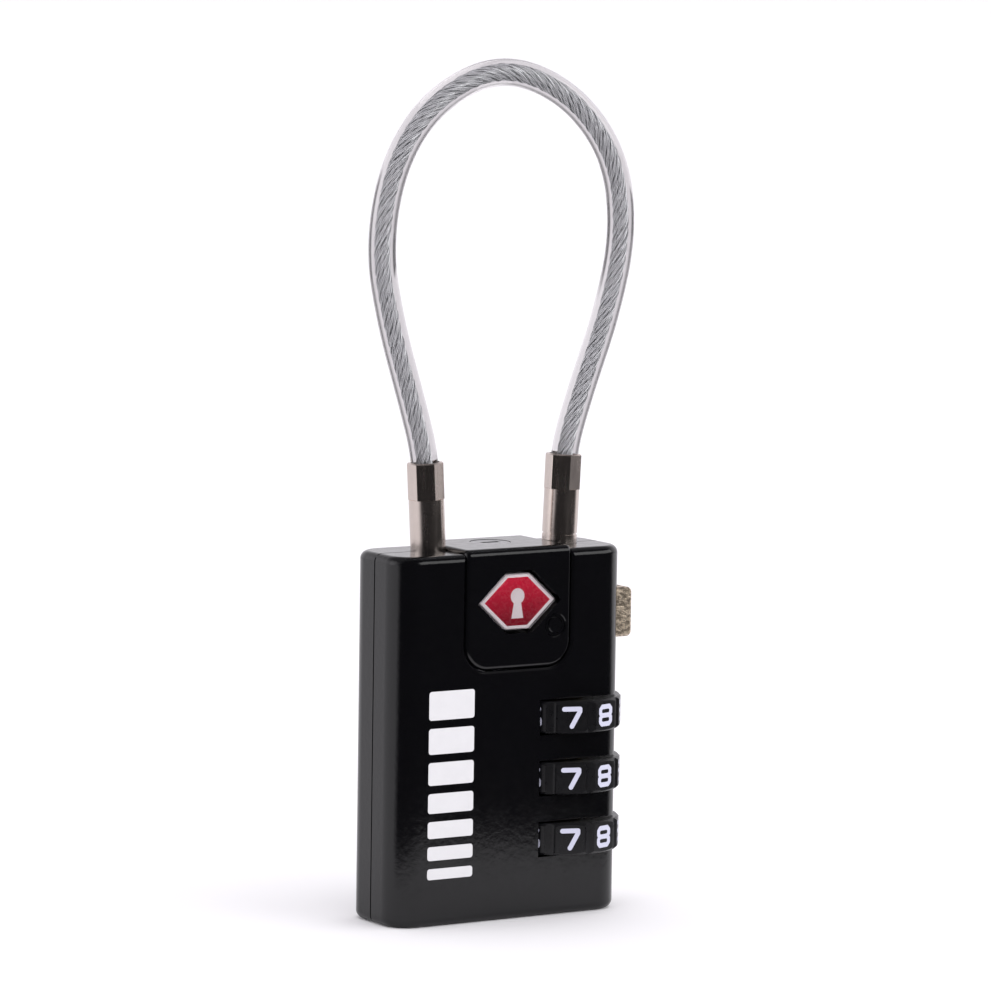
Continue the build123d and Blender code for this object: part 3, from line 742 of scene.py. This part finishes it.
class LOCK_OT_print(bpy.types.Operator):
    """Print a ladder of plain white bars on the case front"""

    bl_idname = "lock.print"
    bl_label = "Print"

    def execute(self, context):
        look = context.scene.lock_look
        bars = bmesh.new()
        top = look.print_top
        for i in range(look.print_bars):
            share = i / (look.print_bars - 1)
            height = look.bar_height * (1 - BAR_TAPER * share)
            low = top - height
            middle_y = FRONT - look.print_thickness / 2 + INK_SINK
            place = Matrix.Translation((look.print_x, middle_y, (top + low) / 2))
            size = Matrix.Diagonal((look.bar_width, look.print_thickness, height, 1))
            bmesh.ops.create_cube(bars, size=1.0, matrix=place @ size)
            top = low - look.bar_gap
        upright = [e for e in bars.edges if abs(e.verts[0].co.y - e.verts[1].co.y) > 1e-6]
        bmesh.ops.bevel(
            bars,
            geom=upright,
            offset=BAR_CORNER,
            segments=BAR_CORNER_STEPS,
            profile=0.5,
            affect="EDGES",
            material=-1,
        )
        new_piece("case_print", mesh_from(bars, "case_print"), "print_ink", "case")
        return {"FINISHED"}


# ---------------------------------------------------------------- stage


def sector(nodes, link, direction, turn, spread, fade, inside):
    """Inside (0 or 1) for directions round one level direction, and the other of the two elsewhere."""
    toward = nodes.new("ShaderNodeVectorMath")
    toward.operation = "DOT_PRODUCT"
    toward.inputs[1].default_value = (math.sin(turn), -math.cos(turn), 0.0)
    link(direction, toward.inputs[0])
    ramp = nodes.new("ShaderNodeMapRange")
    ramp.interpolation_type = "SMOOTHSTEP"
    ramp.inputs["From Min"].default_value = math.cos(spread + fade)
    ramp.inputs["From Max"].default_value = math.cos(spread - fade)
    ramp.inputs["To Min"].default_value = 1.0 - inside
    ramp.inputs["To Max"].default_value = inside
    link(toward.outputs["Value"], ramp.inputs["Value"])
    return ramp.outputs["Result"]


def lit_side(nodes, link, direction, look):
    """1 all round but before the lock."""
    return sector(nodes, link, direction, look.dark_turn, look.dark_spread, look.dark_fade, 0.0)


def backdrop_side(nodes, link, direction, look):
    """1 where the white backdrop stands behind the lock."""
    return sector(nodes, link, direction, look.drop_turn, look.drop_spread, look.drop_fade, 1.0)


def feed(link, socket, value):
    """Gives a socket a number or another socket's value."""
    if isinstance(value, (int, float)):
        socket.default_value = value
    else:
        link(value, socket)


def calculate(nodes, link, operation, a, b, clamp=False):
    """One sum on two values, each a socket or a number."""
    node = nodes.new("ShaderNodeMath")
    node.operation = operation
    node.use_clamp = clamp
    feed(link, node.inputs[0], a)
    feed(link, node.inputs[1], b)
    return node.outputs["Value"]


def mixed(nodes, link, factor, a, b):
    """A value that goes from a to b."""
    node = nodes.new("ShaderNodeMix")
    node.data_type = "FLOAT"
    link(factor, node.inputs["Factor"])
    feed(link, node.inputs["A"], a)
    feed(link, node.inputs["B"], b)
    return node.outputs["Result"]


def rising(nodes, link, value, low, high):
    """0 below low, 1 above high."""
    node = nodes.new("ShaderNodeMapRange")
    node.interpolation_type = "SMOOTHSTEP"
    node.inputs["From Min"].default_value = low
    node.inputs["From Max"].default_value = high
    link(value, node.inputs["Value"])
    return node.outputs["Result"]


def jacket_rays(nodes, link, path):
    """Two values: 1 for rays straight through the clear jacket, and 1 for rays off the rope inside it."""
    bounced = calculate(nodes, link, "ADD", path.outputs["Diffuse Depth"], path.outputs["Glossy Depth"], True)
    through = path.outputs["Is Transmission Ray"]
    wrapped = calculate(nodes, link, "MULTIPLY", through, bounced)
    passed = calculate(nodes, link, "SUBTRACT", through, wrapped, True)
    return passed, wrapped


def world_light(look):
    """Even light on matt surfaces. Gloss, the clear jacket and the rope in it each see their own room."""
    world = bpy.data.worlds.new("studio")
    bpy.context.scene.world = world
    world.use_nodes = True
    world.cycles.sampling_method = "NONE"
    nodes = world.node_tree.nodes
    link = world.node_tree.links.new
    shader = nodes["Background"]
    direction = nodes.new("ShaderNodeTexCoord").outputs["Generated"]
    split = nodes.new("ShaderNodeSeparateXYZ")
    link(direction, split.inputs["Vector"])
    height = split.outputs["Z"]
    path = nodes.new("ShaderNodeLightPath")
    passed, wrapped = jacket_rays(nodes, link, path)
    overhead = rising(nodes, link, height, OVERHEAD_FROM, OVERHEAD_TO)
    lit = mixed(nodes, link, overhead, look.white_light, look.top_light)
    room = mixed(nodes, link, lit_side(nodes, link, direction, look), look.dark_light, lit)
    room = mixed(nodes, link, path.outputs["Is Diffuse Ray"], room, look.even_light)
    key = nodes.new("ShaderNodeVectorMath")
    key.operation = "DOT_PRODUCT"
    key.inputs[1].default_value = look.rope_key
    link(direction, key.inputs[0])
    rope = rising(nodes, link, key.outputs["Value"], ROPE_KEY_FROM, ROPE_KEY_TO)
    rope = mixed(nodes, link, rope, look.rope_shade, look.rope_light)
    room = mixed(nodes, link, wrapped, room, rope)
    above = rising(nodes, link, height, CEILING_FROM, CEILING_TO)
    drop = calculate(nodes, link, "MAXIMUM", backdrop_side(nodes, link, direction, look), above)
    drop = mixed(nodes, link, drop, look.drop_dark, look.drop_light)
    room = mixed(nodes, link, passed, room, drop)
    room = mixed(nodes, link, path.outputs["Is Camera Ray"], room, look.seen_light)
    link(room, shader.inputs["Strength"])
    shader.inputs["Color"].default_value = LIGHT_TINT


def floor_material(look):
    """Plain white. Gloss and glass see it dark in places, but for a patch close to the lock."""
    material = bpy.data.materials.new("floor_white")
    material.use_nodes = True
    nodes = material.node_tree.nodes
    link = material.node_tree.links.new
    white = nodes["Principled BSDF"]
    white.inputs["Base Color"].default_value = (0.94, 0.94, 0.94, 1)
    white.inputs["Roughness"].default_value = 0.85
    white.inputs["Specular IOR Level"].default_value = 0.1
    dark = nodes.new("ShaderNodeBsdfDiffuse")
    dark.inputs["Color"].default_value = (look.floor_gloss, look.floor_gloss, look.floor_gloss, 1)
    place = nodes.new("ShaderNodeTexCoord").outputs["Object"]
    level = nodes.new("ShaderNodeVectorMath")
    level.operation = "NORMALIZE"
    link(place, level.inputs[0])
    reach = nodes.new("ShaderNodeVectorMath")
    reach.operation = "LENGTH"
    link(place, reach.inputs[0])
    path = nodes.new("ShaderNodeLightPath")
    passed, wrapped = jacket_rays(nodes, link, path)
    away = rising(nodes, link, reach.outputs["Value"], look.floor_near, look.floor_far)
    side = lit_side(nodes, link, level.outputs["Vector"], look)
    unlit = calculate(nodes, link, "SUBTRACT", away, side, True)
    unlit = calculate(nodes, link, "MAXIMUM", unlit, look.floor_dimmed)
    away = rising(nodes, link, reach.outputs["Value"], look.drop_near, look.drop_far)
    side = backdrop_side(nodes, link, level.outputs["Vector"], look)
    beyond = calculate(nodes, link, "SUBTRACT", away, side, True)
    beyond = calculate(nodes, link, "MAXIMUM", beyond, look.drop_dimmed)
    unlit = mixed(nodes, link, passed, unlit, beyond)
    plain = calculate(nodes, link, "MAXIMUM", path.outputs["Is Camera Ray"], path.outputs["Is Diffuse Ray"])
    plain = calculate(nodes, link, "MAXIMUM", plain, wrapped)
    unlit = calculate(nodes, link, "SUBTRACT", unlit, plain, True)
    choose = nodes.new("ShaderNodeMixShader")
    link(unlit, choose.inputs["Fac"])
    link(white.outputs["BSDF"], choose.inputs[1])
    link(dark.outputs["BSDF"], choose.inputs[2])
    link(choose.outputs["Shader"], nodes["Material Output"].inputs["Surface"])
    return material


def softbox(name, place, size, power):
    """A flat soft light that faces the lock."""
    light = bpy.data.lights.new(name, "AREA")
    light.shape = "RECTANGLE"
    light.size, light.size_y = size
    light.energy = power
    lamp = bpy.data.objects.new(name, light)
    bpy.context.scene.collection.objects.link(lamp)
    lamp.location = place
    lamp.rotation_euler = (Vector(LIGHT_TARGET) - Vector(place)).to_track_quat("-Z", "Y").to_euler()


class LOCK_OT_stage(bpy.types.Operator):
    """Set the camera, the floor and the lights"""

    bl_idname = "lock.stage"
    bl_label = "Stage"

    def execute(self, context):
        look = context.scene.lock_look
        self.camera(look)
        floor = bpy.data.meshes.new("floor")
        bm = bmesh.new()
        bmesh.ops.create_circle(bm, cap_ends=True, segments=FLOOR_SEGMENTS, radius=look.floor_radius)
        bm.to_mesh(floor)
        bm.free()
        ground = bpy.data.objects.new("floor", floor)
        context.scene.collection.objects.link(ground)
        floor.materials.append(floor_material(look))
        ground.location.z = -FLOOR_DROP
        world_light(look)
        softbox("softbox_left", LEFT_PLACE, LEFT_SIZE, look.left_power)
        softbox("softbox_right", RIGHT_PLACE, RIGHT_SIZE, look.right_power)
        context.scene.view_settings.view_transform = "Standard"
        context.scene.view_settings.look = "None"
        return {"FINISHED"}

    def camera(self, look):
        """The camera, from its turn to the right, tilt down and lean."""
        yaw, pitch, roll = look.camera_yaw, look.camera_pitch, look.camera_roll
        ahead = Vector((math.sin(yaw) * math.cos(pitch), math.cos(yaw) * math.cos(pitch), -math.sin(pitch)))
        level = Vector((math.cos(yaw), -math.sin(yaw), 0))
        above = level.cross(ahead)
        right = level * math.cos(roll) + above * math.sin(roll)
        up = above * math.cos(roll) - level * math.sin(roll)
        turn = Matrix((right, up, -ahead)).transposed().to_4x4()
        data = bpy.data.cameras.new("camera")
        data.lens = look.camera_lens
        data.sensor_width = SENSOR_WIDTH
        data.shift_x, data.shift_y = CAMERA_SHIFT
        data.clip_start, data.clip_end = CAMERA_CLIP
        camera = bpy.data.objects.new("camera", data)
        bpy.context.scene.collection.objects.link(camera)
        camera.matrix_world = Matrix.Translation(look.camera_place) @ turn
        bpy.context.scene.camera = camera


# ---------------------------------------------------------------- settings


class LockLook(bpy.types.PropertyGroup):
    """Sizes, colours and lights of the lock"""

    enamel: FloatVectorProperty(
        name="Enamel", description="Case paint", subtype="COLOR", size=3, default=(0.0016, 0.0016, 0.0022)
    )
    enamel_roughness: FloatProperty(name="Enamel roughness", description="Case paint blur", default=0.14)
    dial: FloatVectorProperty(
        name="Dial", description="Dial plastic", subtype="COLOR", size=3, default=(0.004, 0.004, 0.005)
    )
    numeral: FloatVectorProperty(
        name="Numeral", description="Numeral paint", subtype="COLOR", size=3, default=(0.60, 0.61, 0.74)
    )
    ink: FloatVectorProperty(
        name="Ink", description="Case print", subtype="COLOR", size=3, default=(0.72, 0.72, 0.73)
    )
    nickel: FloatVectorProperty(
        name="Nickel", description="Cable end plate", subtype="COLOR", size=3, default=(0.74, 0.65, 0.60)
    )
    cast: FloatVectorProperty(
        name="Cast nickel", description="Button plate", subtype="COLOR", size=3, default=(0.86, 0.72, 0.56)
    )
    rope: FloatVectorProperty(
        name="Rope", description="Rope wire", subtype="COLOR", size=3, default=(0.54, 0.555, 0.565)
    )
    jacket: FloatVectorProperty(
        name="Jacket", description="Clear jacket tint", subtype="COLOR", size=3, default=(0.90, 0.875, 0.885)
    )
    red: FloatVectorProperty(
        name="Red", description="Emblem field", subtype="COLOR", size=3, default=(0.70, 0.006, 0.045)
    )
    rope_radius: FloatProperty(
        name="Rope radius", description="Outside of the rope", default=0.00066, unit="LENGTH", precision=5
    )
    wire_radius: FloatProperty(
        name="Wire radius", description="One wire of a strand", default=0.000084, unit="LENGTH", precision=6
    )
    rope_strands: IntProperty(name="Strands", description="Strands round the rope's heart", default=9, min=3)
    rope_pitch: FloatProperty(
        name="Rope pitch", description="Length of one turn of a strand", default=0.0098, unit="LENGTH"
    )
    strand_pitch: FloatProperty(
        name="Strand pitch", description="Length of one turn of a wire", default=0.0052, unit="LENGTH"
    )
    jacket_radius: FloatProperty(
        name="Jacket radius", description="Outside of the jacket", default=0.00165, unit="LENGTH", precision=5
    )
    emblem_rim: FloatProperty(
        name="Emblem rim", description="White rim's width", default=0.00062, unit="LENGTH", precision=5
    )
    print_x: FloatProperty(
        name="Print centre", description="Middle of the bars", default=-0.00875, unit="LENGTH", precision=5
    )
    print_top: FloatProperty(
        name="Print top", description="Top of the first bar", default=0.0287, unit="LENGTH", precision=5
    )
    print_bars: IntProperty(name="Bars", description="Number of bars", default=7, min=2)
    bar_width: FloatProperty(
        name="Bar width", description="Width", default=0.0064, unit="LENGTH", precision=5
    )
    bar_height: FloatProperty(
        name="Bar height", description="First bar's height", default=0.0035, unit="LENGTH", precision=5
    )
    bar_gap: FloatProperty(
        name="Bar gap", description="Between two bars", default=0.001, unit="LENGTH", precision=5
    )
    print_thickness: FloatProperty(
        name="Ink thickness", description="Printed layer", default=0.00003, unit="LENGTH", precision=6
    )
    camera_place: FloatVectorProperty(
        name="Camera place",
        description="Where the camera stands",
        subtype="TRANSLATION",
        size=3,
        default=(-0.36535, -0.57981, 0.12766),
    )
    camera_yaw: FloatProperty(
        name="Camera yaw", description="Turn to the right of +Y", subtype="ANGLE", default=0.5631
    )
    camera_pitch: FloatProperty(
        name="Camera pitch", description="Tilt down", subtype="ANGLE", default=0.1114
    )
    camera_roll: FloatProperty(name="Camera roll", description="Lean", subtype="ANGLE", default=0.0148)
    camera_lens: FloatProperty(name="Camera lens", description="Focal length", default=206.2)
    floor_radius: FloatProperty(name="Floor radius", description="Floor", default=14.0, unit="LENGTH")
    floor_gloss: FloatProperty(name="Floor in gloss", description="Far floor as gloss sees it", default=0.02)
    drop_turn: FloatProperty(
        name="Backdrop side", description="Backdrop direction", default=math.radians(148)
    )
    drop_spread: FloatProperty(name="Backdrop half", description="Half its angle", default=math.radians(38))
    drop_fade: FloatProperty(name="Backdrop fade", description="Half its soft edge", default=math.radians(10))
    drop_light: FloatProperty(name="Backdrop light", description="Behind the jacket", default=0.76)
    drop_dark: FloatProperty(name="Backdrop dark", description="Beside the backdrop", default=0.12)
    drop_dimmed: FloatProperty(name="Floor through", description="Least dimming in glass", default=0.34)
    drop_near: FloatProperty(name="Lit floor", description="Lit patch radius", default=0.3)
    drop_far: FloatProperty(name="Lit floor end", description="Where the patch ends", default=0.5)
    rope_light: FloatProperty(name="Rope light", description="Light side in the jacket", default=1.5)
    rope_shade: FloatProperty(name="Rope shade", description="Dark side in the jacket", default=0.03)
    rope_key: FloatVectorProperty(
        name="Rope key", description="Light side's direction", default=(-0.6, -0.35, 0.72)
    )
    floor_dimmed: FloatProperty(name="Floor dimmed", description="Least dimming in gloss", default=0.25)
    floor_near: FloatProperty(
        name="Floor near", description="Pale floor ends", default=0.045, unit="LENGTH"
    )
    floor_far: FloatProperty(
        name="Floor far", description="Dark floor begins", default=0.07, unit="LENGTH"
    )
    dark_turn: FloatProperty(
        name="Dark side", description="Its middle, right of -Y", subtype="ANGLE", default=math.radians(2)
    )
    dark_spread: FloatProperty(
        name="Dark spread", description="Middle to edge", subtype="ANGLE", default=math.radians(80)
    )
    dark_fade: FloatProperty(
        name="Dark fade", description="Half its soft edge", subtype="ANGLE", default=math.radians(14)
    )
    white_light: FloatProperty(name="White light", description="Bright side in gloss", default=1.0)
    top_light: FloatProperty(name="Top light", description="Overhead in gloss", default=0.25)
    even_light: FloatProperty(name="Even light", description="On matt surfaces", default=1.17)
    dark_light: FloatProperty(name="Dark light", description="Dark side", default=0.03)
    seen_light: FloatProperty(name="Seen light", description="What the camera sees", default=1.02)
    left_power: FloatProperty(name="Left light", description="Left softbox", default=0.3)
    right_power: FloatProperty(name="Right light", description="Right softbox", default=2.0)


class LOCK_PT_panel(bpy.types.Panel):
    """The lock's pieces, one button each"""

    bl_idname = "LOCK_PT_panel"
    bl_label = "Cable luggage lock"
    bl_space_type = "VIEW_3D"
    bl_region_type = "UI"
    bl_category = "Lock"

    def draw(self, context):
        for operator in OPERATORS:
            self.layout.operator(operator.bl_idname)
        for name in LockLook.__annotations__:
            self.layout.prop(context.scene.lock_look, name)


OPERATORS = (
    LOCK_OT_stage,
    LOCK_OT_cable,
    LOCK_OT_case,
    LOCK_OT_ends,
    LOCK_OT_dials,
    LOCK_OT_mechanism,
    LOCK_OT_emblem,
    LOCK_OT_print,
)
CLASSES = (LockLook, *OPERATORS, LOCK_PT_panel)


def register():
    for cls in CLASSES:
        bpy.utils.register_class(cls)
    bpy.types.Scene.lock_look = PointerProperty(type=LockLook)


def unregister():
    del bpy.types.Scene.lock_look
    for cls in reversed(CLASSES):
        bpy.utils.unregister_class(cls)


def main():
    register()
    for operator in OPERATORS:
        group, name = operator.bl_idname.split(".")
        getattr(getattr(bpy.ops, group), name)()


if __name__ == "__main__":
    main()
